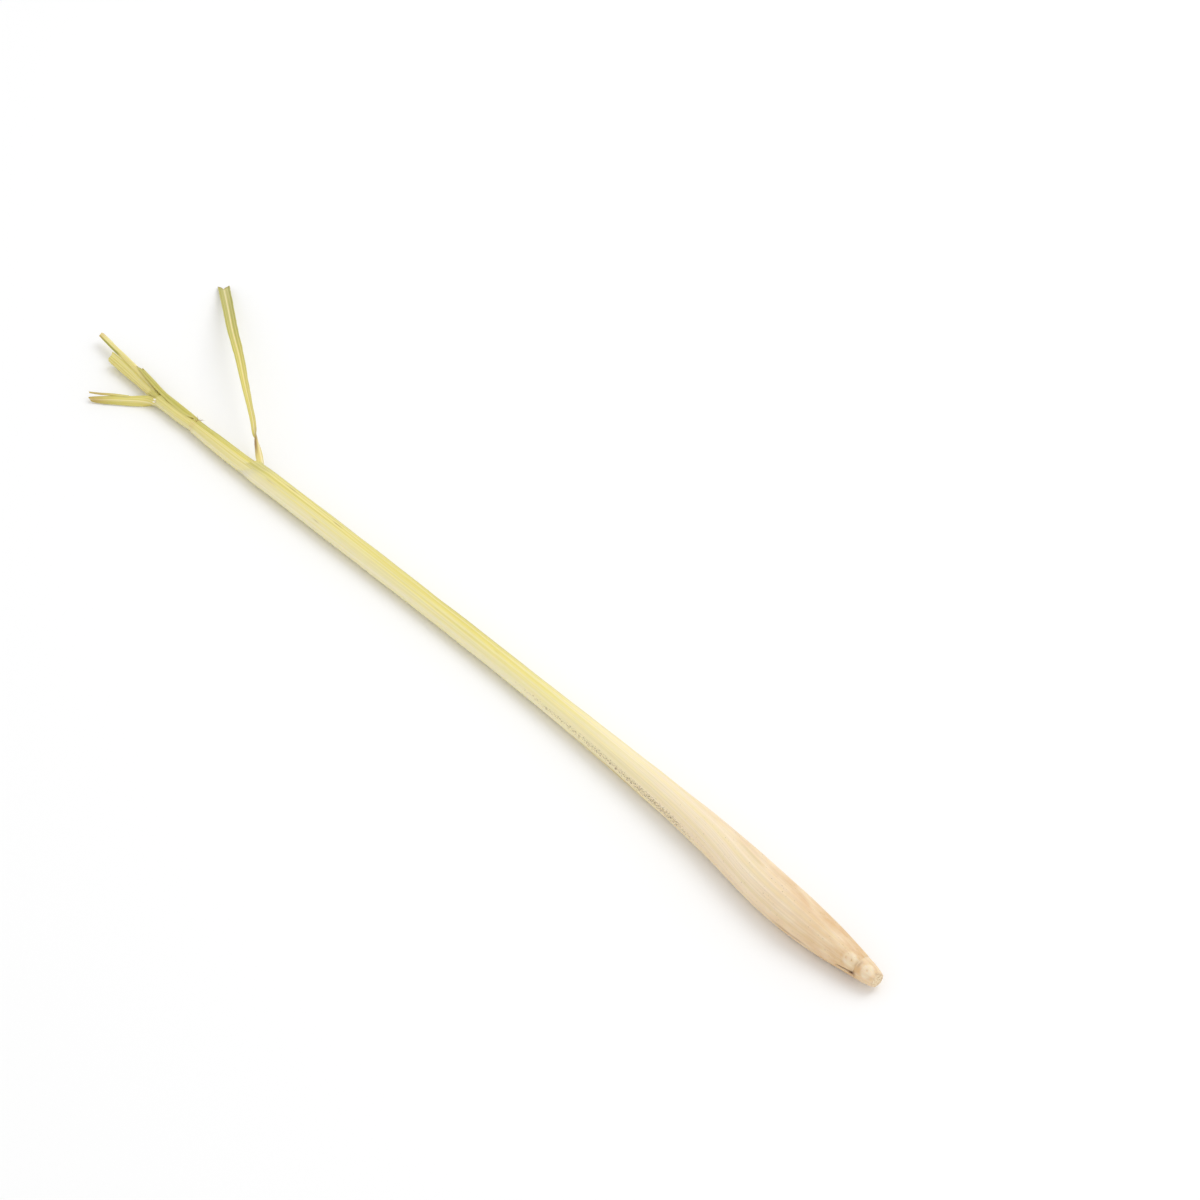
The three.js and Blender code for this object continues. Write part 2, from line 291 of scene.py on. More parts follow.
# How a mouth runs back to its collar: [distance past the mouth, half the angle still wrapped].
MOUTH_STEPS = [[0, 178], [0.8, 150], [1.6, 124], [2.5, 98], [3.4, 72], [4.4, 46]]
OPENING_RUN = (0.5, 4.4, 0.45)


def keel_angle(leaf, station):
    return read_line(leaf["keel"], station, 1)


def across_steps(count):
    return [2 * i / count - 1 for i in range(count + 1)]


def ragged(station, degrees):
    near_root = fade(station, 4.2, 10)
    tear = uneven(degrees / 9, 0.3, 4.1)
    return near_root * (0.3 * tear + 1.3 * hump(turned(degrees - NOTCH[1]), 0, 9))


def two_faced(outer, inner, place, paint):
    tissue, wear = paint
    return (outer, place, tissue, wear), (inner, place, tissue, wear)


def sheath_row(leaf, station, halves):
    keel = keel_angle(leaf, station)
    slant = leaf["slant"] * smooth_step(station, leaf["mouth"] - SLANT_RUN, leaf["mouth"])
    near_mouth = smooth_step(station, leaf["mouth"] - MOUTH_THINNING_RUN, leaf["mouth"])
    settle = leaf["mouth_thinning"] * near_mouth
    feather = ROOT_EDGE + (1 - ROOT_EDGE) * smooth_step(station, leaf["root"], leaf["root"] + ROOT_RUN)
    lapped = max(halves) > LAPPED_HALF
    row = []
    for u in across_steps(leaf["columns"]):
        from_keel = u * (halves[1] if u > 0 else halves[0])
        degrees = keel + from_keel
        lean = slant * (1 - math.cos(math.radians(from_keel))) / 2
        place = station + lean + leaf["ragged_root"] * ragged(station, degrees)
        wall = wall_at(place)
        flesh = wall * (1 - MARGIN_THINNING * smooth_step(abs(from_keel), 180 - MARGIN_TAPER, LAPPED_HALF))
        beneath = lapped * smooth_step(-from_keel, 360 - LAP_TAPER - halves[1], 360 - halves[1])
        outer_radius = layer_radius(leaf["layer"], place) - wall * settle
        outer_radius += leaf["relief"](place, from_keel, degrees) - (flesh + LAP_SINK) * beneath
        inner_radius = outer_radius - flesh * max(1 - settle, MOUTH_EDGE) * feather
        outer = round_stalk(place, degrees, outer_radius)
        inner = round_stalk(place, degrees, inner_radius)
        row.append(two_faced(outer, inner, (place, from_keel, 0), leaf["paint"](place, from_keel)))
    return row


def sheath_rows(leaf, stations):
    rows = []
    for station in stations:
        halves = [straight_line(leaf[margin], station) for margin in ("under", "over")]
        rows.append(sheath_row(leaf, station, halves))
    for past in fine_stations(OPENING_RUN):
        half = straight_line(leaf["opening"], past)
        rows.append(sheath_row(leaf, leaf["mouth"] + past, [half, min(half, leaf["over"][-1][1])]))
    return rows


print("a mouth opens over", MOUTH_STEPS[-1][0], "mm")

# %% [markdown]
# ## Blades
# A blade is a gutter: folded along its keel, thick there and thin at its margins. Its rows say where the
# keel is, where its outer face looks, and how wide, deep and sharp the fold is: [station, side, height,
# facing, half width, depth, power]. A power of 2 is a round gutter, and nearer 1 is a sharper fold. The
# margins wave a little, and the last few rows lean to make the cut or torn end.

# %% Blade rows
# In mm.
BLADE_WALL = 0.5
COLLAR_RUN = 6
END_RUN = 5
MIDRIB_HALF = 0.32
MARGIN_WAVE = 0.22
# As shares of the wall or of the half width.
BLADE_THINNING = 0.35
KEEL_FILL = 0.8
RAGGED_SHARE = 0.07
# In noise cells a millimetre.
WAVE_PACE = 0.16
RAGGED_PACE = 0.35


def collar_row(leaf, station, half_span):
    radius = layer_radius(leaf["layer"], station)
    keel = keel_angle(leaf, station)
    start = round_stalk(station, keel, radius)
    half = math.radians(half_span)
    return [station, start.y, start.z, keel, radius * math.sin(half), radius * (1 - math.cos(half)), 2]


def alongside_row(station, degrees, radius, half_width, depth, power):
    keel = round_stalk(station, degrees, radius)
    return [station, keel.y, keel.z, degrees, half_width, depth, power]


def blade_row(leaf, rows, station):
    def keel_at(where):
        return Vector((where, read_line(rows, where, 1), read_line(rows, where, 2)))

    end = rows[-1][0]
    along = (keel_at(min(station + 0.5, end)) - keel_at(max(station - 0.5, rows[0][0]))).normalized()
    facing = math.radians(read_line(rows, station, 3))
    out = Vector((0, math.cos(facing), math.sin(facing)))
    out = (out - along * out.dot(along)).normalized()
    across = along.cross(out)
    half_width, depth, power = (read_line(rows, station, column) for column in (4, 5, 6))
    near_end = smooth_step(station, end - END_RUN, end)
    past_collar = smooth_step(station, rows[0][0], rows[0][0] + COLLAR_RUN)
    row = []
    for u in across_steps(leaf["columns"]):
        edge = abs(u) ** 3
        wave = uneven(station * WAVE_PACE, 3 * u, leaf["seed"])
        torn = uneven(station * RAGGED_PACE, u, leaf["seed"] + 7)
        slope = depth * power * math.copysign(abs(u) ** (power - 1), u) / half_width
        lean = math.hypot(slope, 1)
        normal = (out + across * slope) / lean
        wall = BLADE_WALL * (1 - MARGIN_THINNING * edge) * (1 - BLADE_THINNING * past_collar * abs(u))
        outer = keel_at(station) + along * leaf["cut"](u) * near_end
        outer += across * half_width * (1 + RAGGED_SHARE * torn * edge) * u
        outer -= out * depth * abs(u) ** power
        outer += normal * MARGIN_WAVE * wave * edge * past_collar
        lean_in = min(abs(slope) / lean * wall, KEEL_FILL * abs(half_width * u))
        inner = outer - across * math.copysign(lean_in, u) - out * wall / lean
        rib = hump(u * half_width, 0, MIDRIB_HALF) * past_collar
        outer = outer + out * leaf["midrib_ridge"] * rib
        inner = inner + out * leaf["midrib_groove"] * rib
        place = (station, u * leaf["collar_half"], 0)
        row.append(two_faced(outer, inner, place, leaf["paint_blade"](station, u)))
    return row


def blade_rows(leaf, rows, stations):
    return [blade_row(leaf, rows, station) for station in stations]


print("blades are", BLADE_WALL, "mm thick at the keel")

# %% [markdown]
# ## Hairs
# The second collar carries a few stiff brown hairs. Each could be a hair curve, but the mesh has to carry
# them, so each is a thin bent cone, rooted in the leaf.

# %% Hairs
HAIR_SIDES = 5
HAIR_STEPS = 6
HAIR_TAPER = 0.85
HAIR_WANDER = 0.35


def hair_rows(root, tip, thickness, sag, seed):
    along = (tip - root).normalized()
    side = along.cross(Vector((0, 0, 1))).normalized()
    upward = side.cross(along)
    rows = []
    for step in range(HAIR_STEPS + 1):
        f = step / HAIR_STEPS
        wander = uneven(seed, 2.5 * f, 0.5) * HAIR_WANDER * (tip - root).length * f
        centre = root.lerp(tip, f) + upward * sag * math.sin(math.pi * f) + side * wander
        radius = thickness * (1 - HAIR_TAPER * f)
        row = []
        for corner in range(HAIR_SIDES):
            angle = 2 * math.pi * corner / HAIR_SIDES
            point = centre + (side * math.cos(angle) + upward * math.sin(angle)) * radius
            row.append((point, (root.x + f, 0, 0), (0.6, 0, 0), (0, 0, 1)))
        rows.append(row)
    return rows


print("a hair has", HAIR_SIDES * HAIR_STEPS + 2, "faces")

# %% [markdown]
# ## Colour, from sRGB to linear
# Colours are written as the hex values that a paint program shows, and one function makes them linear.
# One more small function adds a shader node, whatever its kind, and wires it: what goes into a socket is a
# number, a colour or the socket to link from. Each material starts as Blender's Principled shader.

# %% Colour and node helpers
def linear(hex_colour):
    channels = [int(hex_colour[i:i + 2], 16) / 255 for i in (1, 3, 5)]
    return [c / 12.92 if c <= 0.04045 else ((c + 0.055) / 1.055) ** 2.4 for c in channels] + [1]


def wire(node, inputs):
    for socket, value in inputs.items():
        if isinstance(value, bpy.types.NodeSocket):
            node.id_data.links.new(value, node.inputs[socket])
        else:
            node.inputs[socket].default_value = linear(value) if isinstance(value, str) else value
    return node


def add(tree, kind, inputs, **settings):
    node = tree.nodes.new(kind)
    for name, value in settings.items():
        setattr(node, name, value)
    return wire(node, inputs)


def new_material(name):
    material = bpy.data.materials.new(name)
    material.use_nodes = True
    return material, material.node_tree, material.node_tree.nodes["Principled BSDF"]


print("cream #F3E0BF is", [round(c, 3) for c in linear("#F3E0BF")])

# %% [markdown]
# ## Leaf skin
# Fresh lemongrass is waxy plant tissue: pale cream flesh in the bulb, which greens towards the light. Its
# parallel veins run from base to tip, with paler and darker streaks between them. The colour is one ramp
# from cream to green, read by how green the tissue is at each vertex. Each marking is noise stretched
# along the leaf, so it follows the leaf's twist. Its size is the width and length of a noise cell in mm,
# at the girth of mid stalk: a cell 0.22 mm wide puts veins about half a millimetre apart, and lifts them
# a few hundredths of a millimetre. Stains lie in layers, and flecks are noise cut off high. Plant tissue
# has an IOR near 1.42. Its wax is satin, roughness about 0.45, and light goes a little way in.

# %% Leaf skin material
LEAF_IOR = 1.42
VEIN_RELIEF = 0.045 * MM
LIGHT_DEPTH = 1.2 * MM
MM_PER_DEGREE = math.radians(1) * layer_radius(0, 208)
VEIN_CELL = (0.2199, 83.33)
STREAK_CELL = (0.7762, 125)
BLOTCH_CELL = (1.885, 9.09)
FLECK_CELL = (0.1571, 1)
RAMP_STOPS = (0.0, 0.3, 0.52, 0.72, 0.86, 1.0)
LEAF_COLOURS = ("#F2DEBE", "#F3E4B6", "#EEE19C", "#E3D580", "#C9C166", "#9A9A48")
TAN_STAIN = "#D4A972"
OLIVE_LINE = "#A39A38"
PALE_BLOOM = "#F8EFD6"
FLECK_BROWN = "#7D6140"
FLECK_STRENGTH = 0.8
DRIED_BROWN = "#6E4020"


def carried(tree, channel):
    attribute = add(tree, "ShaderNodeAttribute", {}, attribute_name=channel)
    return add(tree, "ShaderNodeSeparateXYZ", {0: attribute.outputs["Vector"]}).outputs


def stretched_noise(tree, place, cell, seed, detail=2.0):
    width, length = cell
    across = add(tree, "ShaderNodeMath", {0: place["Y"], 1: MM_PER_DEGREE / width}, operation="MULTIPLY")
    along = add(tree, "ShaderNodeMath", {0: place["X"], 1: 1 / length}, operation="MULTIPLY")
    where = {"X": across.outputs[0], "Y": along.outputs[0], "Z": seed}
    vector = add(tree, "ShaderNodeCombineXYZ", where).outputs[0]
    return add(tree, "ShaderNodeTexNoise", {"Vector": vector, "Scale": 1.0, "Detail": detail}).outputs[0]


def stained(tree, colour, layers):
    for stain, amount, pattern, low, high, least in layers:
        span = {0: pattern, 1: low, 2: high, 3: least}
        shown = add(tree, "ShaderNodeMapRange", span, interpolation_type="SMOOTHSTEP").outputs[0]
        cover = add(tree, "ShaderNodeMath", {0: amount, 1: shown}, operation="MULTIPLY", use_clamp=True)
        mix = {0: cover.outputs[0], 6: colour, 7: stain}
        colour = add(tree, "ShaderNodeMix", mix, data_type="RGBA").outputs[2]
    return colour


def leaf_skin(name, seed, roughness=0.45):
    material, tree, shader = new_material(name)
    place, tissue, wear = (carried(tree, channel) for channel in CHANNELS)
    veins = stretched_noise(tree, place, VEIN_CELL, seed)
    streaks = stretched_noise(tree, place, STREAK_CELL, seed + 3)
    blotches = stretched_noise(tree, place, BLOTCH_CELL, seed + 5, 4.0)
    flecks = stretched_noise(tree, place, FLECK_CELL, seed + 9)
    # A reading is (pattern, from, to, value at from, value at to).
    readings = {
        "vein green": (veins, 0.3, 0.7, -0.05, 0.05),
        "streak green": (streaks, 0.3, 0.7, -0.07, 0.07),
        "brightness": (veins, 0.3, 0.7, 1.04, 0.92),
        "saturation": (streaks, 0.3, 0.7, 0.92, 1.08),
        "fleck level": (wear["X"], 0.0, 1.0, 0.86, 0.5),
        "roughness": (streaks, 0.3, 0.7, roughness - 0.06, roughness + 0.08),
    }
    read = {}
    for part, reading in readings.items():
        span = dict(enumerate(reading))
        read[part] = add(tree, "ShaderNodeMapRange", span, interpolation_type="SMOOTHSTEP").outputs[0]
    shifts = {0: read["vein green"], 1: read["streak green"]}
    shifts = add(tree, "ShaderNodeMath", shifts, operation="ADD").outputs[0]
    greening = add(tree, "ShaderNodeMath", {0: tissue["X"], 1: shifts}, operation="ADD", use_clamp=True)
    ramp = add(tree, "ShaderNodeValToRGB", {0: greening.outputs[0]})
    ramp.color_ramp.elements.remove(ramp.color_ramp.elements[1])
    ramp.color_ramp.elements[0].color = linear(LEAF_COLOURS[0])
    for stop, colour in list(zip(RAMP_STOPS, LEAF_COLOURS))[1:]:
        ramp.color_ramp.elements.new(stop).color = linear(colour)
    grain = {"Color": ramp.outputs[0], "Value": read["brightness"], "Saturation": read["saturation"]}
    above = {0: flecks, 1: read["fleck level"]}
    above = add(tree, "ShaderNodeMath", above, operation="SUBTRACT").outputs[0]
    # A stain is (colour, amount, pattern, level where it starts, level where it is full, least share).
    colour = stained(tree, add(tree, "ShaderNodeHueSaturation", grain).outputs[0], (
        (PALE_BLOOM, wear["Y"], veins, 0.3, 0.6, 0.0),
        (TAN_STAIN, tissue["Y"], blotches, 0.22, 0.72, 0.3),
        (OLIVE_LINE, tissue["Z"], veins, 0.75, 0.35, 0.0),
        (FLECK_BROWN, FLECK_STRENGTH, above, 0.0, 0.05, 0.0),
        (DRIED_BROWN, wear["Z"], blotches, 0.2, 0.5, 0.6),
    ))
    bump = add(tree, "ShaderNodeBump", {"Height": veins, "Strength": 1.0, "Distance": VEIN_RELIEF})
    wire(shader, {
        "Base Color": colour, "Roughness": read["roughness"], "Normal": bump.outputs[0], "IOR": LEAF_IOR,
        "Subsurface Weight": 0.2, "Subsurface Radius": (1.0, 0.75, 0.3), "Subsurface Scale": LIGHT_DEPTH,
    })
    print("made", name)
    return material


OUTER_SKIN = leaf_skin("waxy outer leaf skin", 1.0)
SECOND_SKIN = leaf_skin("waxy second leaf skin", 12.0)
THIRD_SKIN = leaf_skin("waxy third leaf skin", 23.0)
FOURTH_SKIN = leaf_skin("waxy fourth leaf skin", 34.0)
HEART_SKIN = leaf_skin("young heart leaf skin", 45.0)
STEM_SKIN = leaf_skin("pale stem flesh", 56.0, 0.5)

# %% [markdown]
# ## Cut stem, and ligule
# The knife leaves the stem's end as bare fibres: pale, dry and rough, with the ends of the vessels as
# small darker dots. Real vessel ends are about 0.3 mm across, and are drawn at 0.75 mm so that they show.
# The ligule is the scrap of membrane at a collar. It is thin and papery, so it is nearly white and matt.

# %% Cut end and ligule materials
VESSEL_SIZE = 0.75 * MM
FIBRE_SIZE = 0.5 * MM
FIBRE_RELIEF = 0.08 * MM
MEMBRANE_MOTTLE = 0.4 * MM


def cut_fibre():
    material, tree, shader = new_material("knife-cut stem fibre")
    where = add(tree, "ShaderNodeTexCoord", {}).outputs["Object"]
    vessels = add(tree, "ShaderNodeTexVoronoi", {"Vector": where, "Scale": 1 / VESSEL_SIZE}).outputs[0]
    fibres = {"Vector": where, "Scale": 1 / FIBRE_SIZE, "Detail": 3.0}
    fibres = add(tree, "ShaderNodeTexNoise", fibres).outputs[0]
    stains = (("#D3B68C", 1.0, fibres, 0.4, 0.7, 0.0), ("#B4946A", 0.6, vessels, 0.3, 0.1, 0.0))
    dried = {0: carried(tree, "wear")["Z"], 6: stained(tree, "#F4E2C2", stains), 7: "#A9774A"}
    colour = add(tree, "ShaderNodeMix", dried, data_type="RGBA").outputs[2]
    bump = add(tree, "ShaderNodeBump", {"Height": fibres, "Strength": 0.5, "Distance": FIBRE_RELIEF})
    wire(shader, {"Base Color": colour, "Roughness": 0.75, "Normal": bump.outputs[0], "IOR": LEAF_IOR})
    return material


def ligule_membrane():
    material, tree, shader = new_material("papery ligule membrane")
    where = add(tree, "ShaderNodeTexCoord", {}).outputs["Object"]
    mottle = add(tree, "ShaderNodeTexNoise", {"Vector": where, "Scale": 1 / MEMBRANE_MOTTLE}).outputs[0]
    colour = stained(tree, "#FBF7EE", (("#E6D9BF", 1.0, mottle, 0.4, 0.7, 0.0),))
    wire(shader, {"Base Color": colour, "Roughness": 0.6})
    return material


CUT_FIBRE = cut_fibre()
LIGULE = ligule_membrane()
print("made", CUT_FIBRE.name, "and", LIGULE.name)

# %% [markdown]
# ## Outer leaf
# The oldest leaf wraps the whole bulb. Its root tears away from the stem along a ragged brown scar, with a
# pale root bud above it, and a notch in its root edge. Its keel turns from the top of the bulb to the
# right side higher up. Its mouth settles on the second leaf, except at the collar, where the blade stands
# off to the right: a creased waist, and then a slim gutter. The buds could be sculpted, but here one
# falloff both raises and paints them.

# %% Buds, tear and relief
# A bud is (station, angle, reach along, reach round in degrees, height). A dimple and the start of the
# tear are (station, angle).
LEAF_BUD = (7.2, 51, 2.5, 36, 0.5)
NECK_BUD = (0.9, 60, 2.1, 50, 0.42)
BUD_DIMPLES = ((8.3, 49), (6.3, 53), (0.9, 61))
DIMPLE_DEPTH = 0.12
# The slope is in degrees for each millimetre towards the root.
TEAR_START = (11, -8)
TEAR_SLOPE = 2.1
TEAR_DEPTH = 0.5
TEAR_LIP = 0.18
KEEL_RIDGE = 0.09
ROOT_SEAT = 0.34
COLLAR_RISE = 0.82
# Slow swells, and fine ribs along the leaf.
SWELL_LENGTH = 16
RIB_LENGTH = 60
RIB_DEGREES = 7
RIB_HEIGHT = 0.05


def from_bud(bud, place, degrees):
    return math.hypot((place - bud[0]) / bud[2], turned(degrees - bud[1]) / bud[3])


def bud_rise(bud, place, degrees):
    rise = bud[4] * fade(from_bud(bud, place, degrees), 0.35, 1)
    for station, angle in BUD_DIMPLES:
        rise -= DIMPLE_DEPTH * hump(place, station, 0.35) * hump(turned(degrees - angle), 0, 5)
    return rise


def bud_paint(bud, place, degrees):
    away = from_bud(bud, place, degrees)
    inside = fade(away, 0.6, 1)
    ring = hump(away, 1.15, 0.2)
    dimples = (hump(place, s, 0.3) * hump(turned(degrees - a), 0, 4.5) for s, a in BUD_DIMPLES)
    dimple = min(sum(dimples), 1)
    return 1.5 * inside * (1 - 0.5 * dimple), 0.14 * ring + 0.4 * dimple * (inside > 0.3)


def tear_line(place, degrees):
    along = smooth_step(place, 5, 6) * fade(place, 9.5, 11.5)
    return turned(degrees - TEAR_START[1] - (TEAR_START[0] - place) * TEAR_SLOPE), along


def undulation(place, degrees, seed, height):
    angle = math.radians(degrees)
    swell = uneven(place / SWELL_LENGTH, 1.4 * math.cos(angle), 1.4 * math.sin(angle) + seed)
    ribs = uneven(place / RIB_LENGTH, degrees / RIB_DEGREES, seed)
    return height * swell + RIB_HEIGHT * ribs


def spots(place, across, rows):
    marks = (most * hump(place, s, run) * hump(across, a, spread) for s, a, run, spread, most in rows)
    return min(sum(marks), 1)


def outer_relief(place, from_keel, degrees):
    off, along = tear_line(place, degrees)
    tear = along * (TEAR_DEPTH * hump(off, 0, 3) - TEAR_LIP * hump(off, -7, 5))
    ridge = KEEL_RIDGE * hump(from_keel, 0, 7) * smooth_step(place, 60, 110)
    seat = ROOT_SEAT * fade(place, 4.1, 5.6)
    collar = COLLAR_RISE * smooth_step(place, 299.2, 308.2) * fade(abs(from_keel), 40, 95)
    rise = bud_rise(LEAF_BUD, place, degrees) + ridge + collar - tear - seat
    return rise + undulation(place, degrees, 2.0, 0.16)


print("the leaf bud stands", LEAF_BUD[4], "mm out")

# %% [markdown]
# ### Colours of the outer leaf
# The bulb is cream with a tan flush, strongest near the root; the tan on its low side is partly real and
# partly painted shade. Higher up the leaf greens, with an olive line along its keel, and small dark flecks
# run along its low side. Painted shade darkens its top and upper right side: more green higher up, more
# tan on the bulb. The mesh could be painted by hand, but numbers are easy to move. The greening and olive
# rows are [station, amount], and a scar is [station, degrees from the keel, length, spread in degrees,
# strength].

# %% Outer leaf colours
OUTER_GREENING = [
    [0, 0.0], [60, 0.04], [95, 0.14], [125, 0.3], [155, 0.45], [182, 0.5], [260, 0.52], [320, 0.6],
]
OLIVE_STRENGTH = [
    [47, 0], [52, 0.32], [58, 0.28], [66, 0.03], [120, 0.1], [170, 0.5], [210, 0.85], [290, 0.7],
]
OUTER_SCARS = [
    [267.5, -51, 1.6, 2.4, 0.8], [293, -48, 2.6, 3.4, 0.5], [275, -107, 1.6, 1.6, 0.6],
    [301.5, -90, 1.2, 2.0, 0.7], [319.5, -155, 1.6, 6, 0.8], [32, -107, 4, 3, 0.5], [25, -107, 3, 3, 0.5],
    [5.0, -91, 0.8, 10, 1.0], [4.4, -40, 0.5, 16, 0.3], [312, 40, 1.2, 10, 0.7],
    [211, -80, 1.0, 1.2, 0.4], [182, -60, 1.4, 1.4, 0.4],
]


def outer_paint(place, across):
    green = straight_line(OUTER_GREENING, place)
    # Painted shade: extra greening darkens the leaf's top and upper right side.
    painted_shade = hump(across, -60, 45) * smooth_step(place, 130, 250) * 0.1
    painted_shade += hump(across, -32, 24) * smooth_step(place, 130, 190) * 0.14
    # Tan on the low side, next to the table: partly real tan, partly painted shade.
    low_side = hump(across, -118, 34)
    tan = 0.6 * fade(place, 6, 60) + 0.25 * fade(place, 60, 110) * low_side
    tan += 0.5 * fade(place, 4, 16) * low_side
    # Painted shade: a tan flush on the upper right of the bulb darkens that side.
    tan += 0.42 * hump(across, 20, 26) * fade(place, 60, 130)
    olive = straight_line(OLIVE_STRENGTH, place) * hump(across, -4, 6 + 9 * smooth_step(place, 70, 200))
    fleck = 0.16 + 0.33 * fade(place, 60, 150)
    fleck += 0.62 * hump(across, -121, 17) * smooth_step(place, 70, 90) * fade(place, 150, 195)
    bloom = 0.75 * hump(across, -140, 42) * smooth_step(place, 110, 180)
    degrees = across + keel_angle(OUTER_LEAF, place)
    pale_bud, tan_bud = bud_paint(LEAF_BUD, place, degrees)
    off, along = tear_line(place, degrees)
    bloom += pale_bud + 1.6 * along * hump(off, -8, 5)
    dried = spots(place, across, OUTER_SCARS) + along * hump(off, 0, 2.6)
    tan += tan_bud
    bloom += 0.8 * hump(across, 196, 5) * smooth_step(place, 80, 100) * fade(place, 150, 180)
    return (green + painted_shade, min(tan, 1), olive), (fleck, bloom, min(dried, 1))


def outer_blade_paint(station, u):
    midrib = hump(u, 0.08, 0.16)
    green = 0.66 + 0.22 * smooth_step(station, 316, 400) + 0.08 * abs(u) - 0.14 * midrib
    tan = 0.25 * fade(station, 314, 330)
    olive = 0.35 * smooth_step(abs(u), 0.6, 1)
    crease = 0.8 * hump(station, 320.5, 4) * hump(u, -0.8, 0.4)
    crease += 0.5 * hump(station, 323, 1.6) * hump(u, 0, 0.5)
    dried_cut = 0.6 * hump(station, 411.5, 0.8)
    return (green, tan, olive), (0.25, 0.75 * midrib, crease + dried_cut)


print("the outer leaf has", len(OUTER_SCARS), "scars")

# %% [markdown]
# ### Sheet of the outer leaf
# The keel and margin rows are [station, degrees]. A mouth thinning above 1 sinks the mouth under the next
# leaf's skin.

# %% Outer leaf sheet
OUTER_LEAF = {
    "layer": 0, "root": 4.1, "mouth": 308.2, "slant": 11, "columns": 132, "seed": 1.0,
    "keel": [[5, 95], [52, 99], [66, 110], [80, 120], [105, 131], [150, 140], [330, 152]],
    "under": [[5, 180], [140, 180], [165, 206]],
    "over": [[5, 188], [80, 190], [108, 203], [146, 198], [168, 165], [308, 162]],
    "opening": MOUTH_STEPS,
    "ragged_root": 1, "relief": outer_relief, "paint": outer_paint, "paint_blade": outer_blade_paint,
    "mouth_thinning": 1.5, "collar_half": 46, "midrib_groove": 0.12, "midrib_ridge": 0.14,
    "cut": lambda u: 1.1 * u - 1.5 * hump(u, 0.2, 0.2) + 0.25 * uneven(9 * u, 0, 3),
}
OUTER_BLADE = [
    collar_row(OUTER_LEAF, 312.8, 40),
    [314.8, -4.6, 6.4, 140, 2.3, 0.8, 1.9],
    [317, -5.7, 7.2, 132, 1.85, 0.7, 1.9],
    [320, -7.3, 8.3, 132, 1.45, 0.6, 1.8],
    [322, -8.3, 9.0, 150, 1.3, 0.5, 1.8],
    [325, -9.8, 9.8, 210, 1.3, 0.5, 1.6],
    [330, -12.7, 11.0, 228, 1.2, 0.55, 1.5],
    [337, -16.4, 12.2, 240, 1.25, 0.7, 1.4],
    [346, -21.2, 12.9, 250, 1.45, 0.8, 1.4],
    [360, -29.0, 12.9, 256, 1.75, 0.95, 1.4],
    [376, -37.6, 10.8, 259, 2.0, 1.05, 1.4],
    [393, -47.6, 6.6, 260, 2.15, 1.1, 1.4],
    [411.5, -58.6, 0.15, 260, 2.25, 1.1, 1.4],
]
outer = Piece()
sheath_stations = fine_stations((4.1, 12, 0.4), (12, 16, 0.8), (16, 300, 2.1), (300, 308.2, 0.8))
blade_stations = fine_stations((313.6, 330, 0.8), (330, 405, 2), (405, 411.5, 0.6))
outer_rows = sheath_rows(OUTER_LEAF, sheath_stations)
outer.add_sheet(outer_rows + blade_rows(OUTER_LEAF, OUTER_BLADE, blade_stations))
outer.build("outer_leaf_sheet", "outer_leaf", [OUTER_SKIN])

# %% [markdown]
# ## Second leaf
# It shows as a clean yellow-green length between the first two collars. Its collar is a tan, flecked ring
# with a few brown hairs, and its blade was torn off short: a strip with an olive edge, which wraps the
# right side of the bundle, so its rows are given round the stalk's line.

# %% Second leaf
SECOND_GREENING = [[16, 0.1], [200, 0.4], [300, 0.58], [318, 0.64], [340, 0.7], [386, 0.8]]
SECOND_SCARS = [[323.5, -42, 0.8, 2, 0.8], [338, -60, 1.2, 1.5, 0.4]]


def second_paint(place, across):
    ring = hump(place, 347.8, 1.3) * (0.45 + uneven(across / 12, 2.0, 5.0))
    olive = (0.25 + 0.6 * smooth_step(place, 318, 345)) * hump(across, -6, 24)
    # Painted shade: extra greening darkens the leaf's top and upper right side.
    painted_shade = 0.06 * hump(across, -62, 20) + 0.13 * hump(across, -32, 22)
    bloom = 0.7 * hump(across, -150, 36)
    green = straight_line(SECOND_GREENING, place) + painted_shade
    wear = (0.15 + 0.3 * ring, bloom, spots(place, across, SECOND_SCARS))
    return (green, 0.65 * ring, olive), wear


def second_blade_paint(station, u):
    green = 0.6 + 0.06 * smooth_step(station, 352, 380) + 0.18 * fade(u, -0.3, 0.5)
    tan = 0.3 * fade(station, 349, 353)
    olive = 0.5 * fade(u, -0.1, 0.55)
    return (green, tan, olive), (0.3, 0, 0.55 * hump(station, 386, 0.9))


SECOND_LEAF = {
    "layer": 1, "root": 16, "mouth": 344.6, "slant": 3.2, "columns": 100, "seed": 2.0,
    "keel": [[16, 150], [352, 150]],
    "under": [[16, 198], [345, 198]],
    "over": [[16, 188], [250, 166], [345, 164]],
    "opening": MOUTH_STEPS,
    "ragged_root": 0, "relief": lambda place, _, degrees: undulation(place, degrees, 5.0, 0.1),
    "paint": second_paint, "paint_blade": second_blade_paint,
    "mouth_thinning": 0.45, "collar_half": 46, "midrib_groove": 0.05, "midrib_ridge": 0.1,
    "cut": lambda u: -1.6 * u + 1.2 * math.sin(5 * u) + 0.5 * uneven(8 * u, 0, 9),
}
SECOND_BLADE = [
    collar_row(SECOND_LEAF, 349.4, 44),
    alongside_row(354, 144, 3.15, 2.4, 2.05, 2),
    alongside_row(362, 141, 3.4, 2.28, 1.86, 2),
    alongside_row(369, 142, 3.4, 2.03, 1.47, 2),
    alongside_row(378, 132, 3.45, 2.0, 1.05, 2),
    alongside_row(386, 134, 3.15, 1.35, 0.75, 2),
]
HAIR_COUNT = 5
HAIR_FIRST = 96
HAIR_FAN = 62
HAIR_THICKNESS = 0.09
HAIR_SAG = 0.15
HAIR_SKIN = layer_radius(SECOND_LEAF["layer"], 347)
